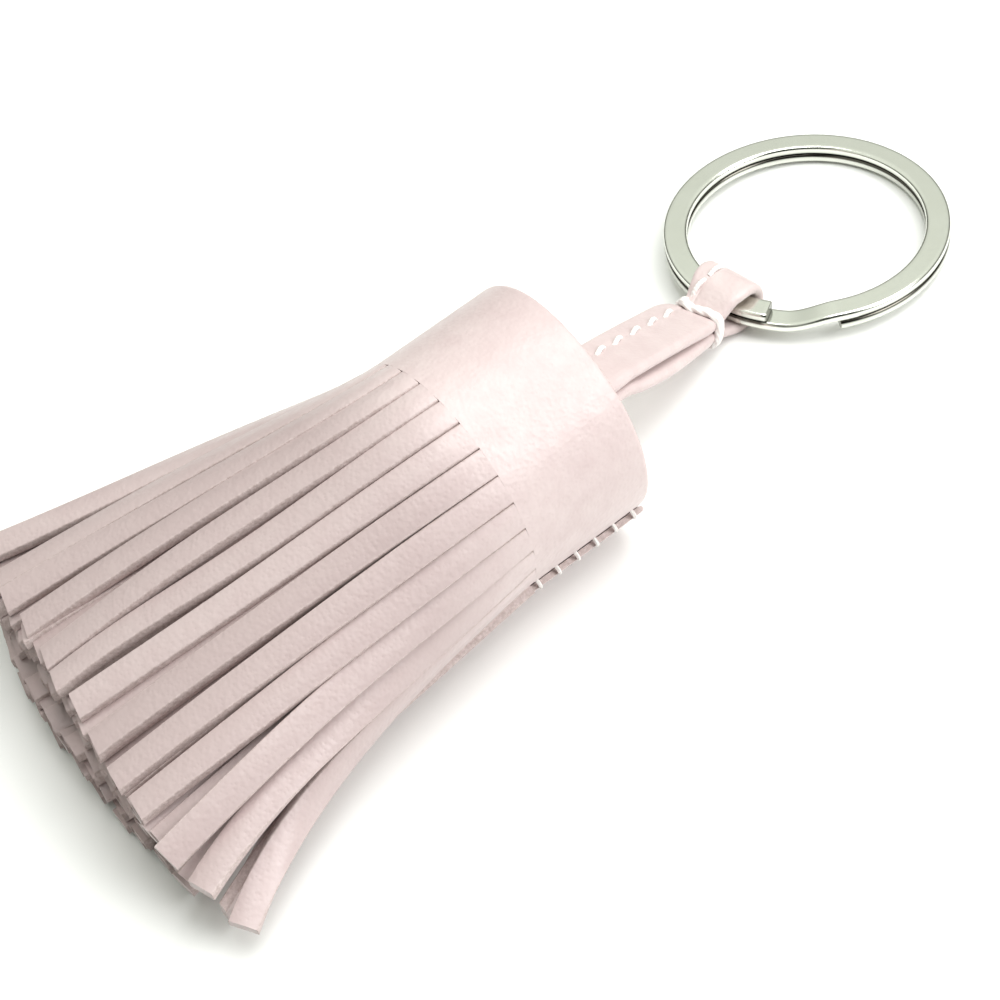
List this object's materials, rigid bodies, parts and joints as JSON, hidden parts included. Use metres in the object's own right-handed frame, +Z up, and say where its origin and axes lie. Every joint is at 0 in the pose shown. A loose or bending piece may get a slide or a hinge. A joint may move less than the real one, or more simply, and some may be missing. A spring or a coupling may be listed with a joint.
{
  "type": "tassel key ring",
  "caption": "Rolled leather tassel with a slit fringe, hung by a stitched leather strap from a flat split key ring.",
  "frame": {"origin": "centre of the object's bounding box, on the surface it lies on", "axes": "+X from the fringe tips to the ring, +Z up, off the surface"},
  "size_m": [0.1185, 0.058, 0.0274],
  "materials": {
    "tassel_leather": "pale pink smooth leather with a pearly sheen",
    "strap_leather": "pale pink smooth leather, two plies stitched together",
    "thread": "white waxed sewing thread",
    "nickel": "polished nickel plate"
  },
  "bodies": {
    "roll": {"head_wrap": "tassel_leather", "head_roll": "tassel_leather", "strap_tails": "strap_leather", "seam_thread": "thread"},
    "fringe": {"fringe": "tassel_leather"},
    "strap": {"strap_upper": "strap_leather", "strap_lower": "strap_leather", "edge_thread": "thread", "pinch_thread": "thread"},
    "loop": {"loop_leather": "strap_leather", "loop_thread": "thread"},
    "ring": {"split_ring": "nickel"}
  },
  "joints": [
    {"name": "fringe_sway", "type": "hinge", "parent": "roll", "child": "fringe", "pos_m": [-0.0103, -0.008, 0.01308], "axis": [0, 0, 1], "range_deg": [-20, 20]},
    {"name": "strap_bend", "type": "hinge", "parent": "roll", "child": "strap", "pos_m": [0.0031, -0.0069, 0.01308], "axis": [-0.2948, 0.9556, 0], "range_deg": [-80, 35]},
    {"name": "loop_bend", "type": "hinge", "parent": "strap", "child": "loop", "pos_m": [0.02377, -0.00052, 0.00299], "axis": [-0.1219, 0.9925, 0], "range_deg": [-60, 80]},
    {"name": "ring_turn", "type": "hinge", "parent": "loop", "child": "ring", "pos_m": [0.0427, 0.0018, 0.00199], "axis": [0.0519, 0.0064, 0.9986], "continuous": true}
  ]
}
